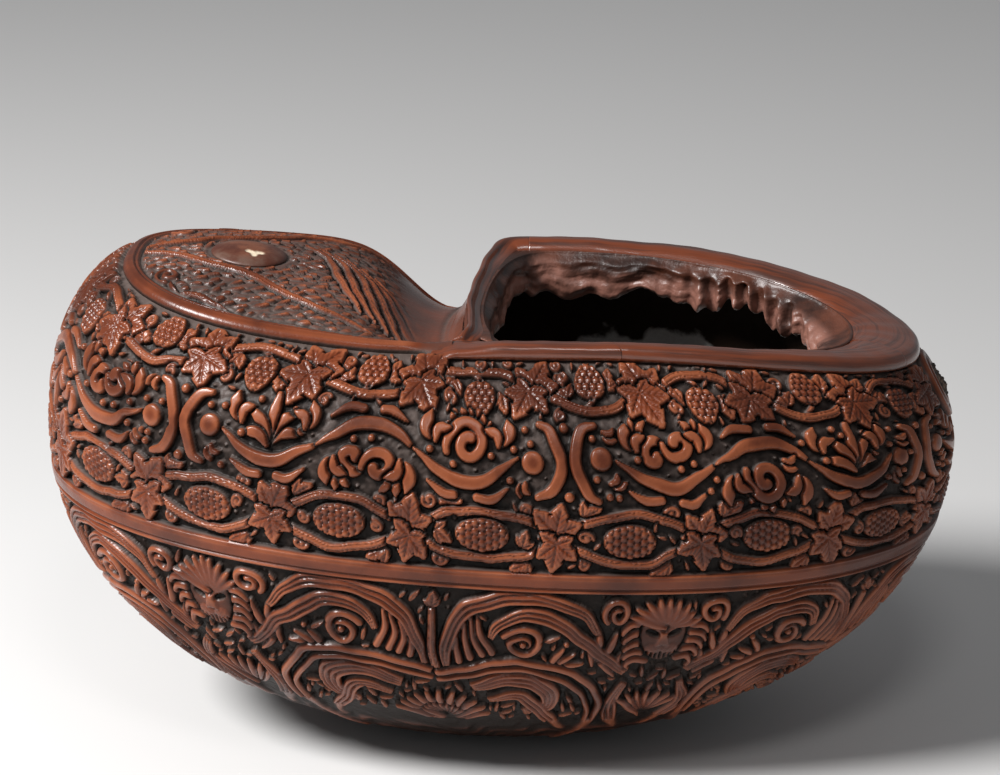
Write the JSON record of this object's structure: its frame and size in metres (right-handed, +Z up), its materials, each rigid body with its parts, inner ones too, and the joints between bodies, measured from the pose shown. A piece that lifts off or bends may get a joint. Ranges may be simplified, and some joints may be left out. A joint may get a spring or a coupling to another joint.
{
  "type": "coconut kashkul",
  "caption": "Boat-shaped alms bowl carved from half a sea coconut: closed lobe with a framed panel, open mouth with applied rim mouldings, belt round the flanks.",
  "frame": {"origin": "centre of the worn flat on the round back that the bowl stands on, under the middle of its length", "axes": "+X along the length from the closed lobe to the stalk tip, +Z up out of the mouth, -Y towards the viewer of the picture"},
  "size_m": [0.2799, 0.164, 0.1537],
  "materials": {
    "carved_nut": "varnished carved nut shell, dark ground",
    "rim_wood": "polished, varnished",
    "husk": "rough, dusty",
    "scar": "rough end grain"
  },
  "bodies": {
    "root": {"shell": "carved_nut", "near_rim_left": "rim_wood", "near_rim_right": "rim_wood", "far_rim": "rim_wood", "throat_lip": "rim_wood", "mouth_lining": "husk", "lobe_boss": "carved_nut", "tip_plug": "scar"}
  },
  "joints": []
}
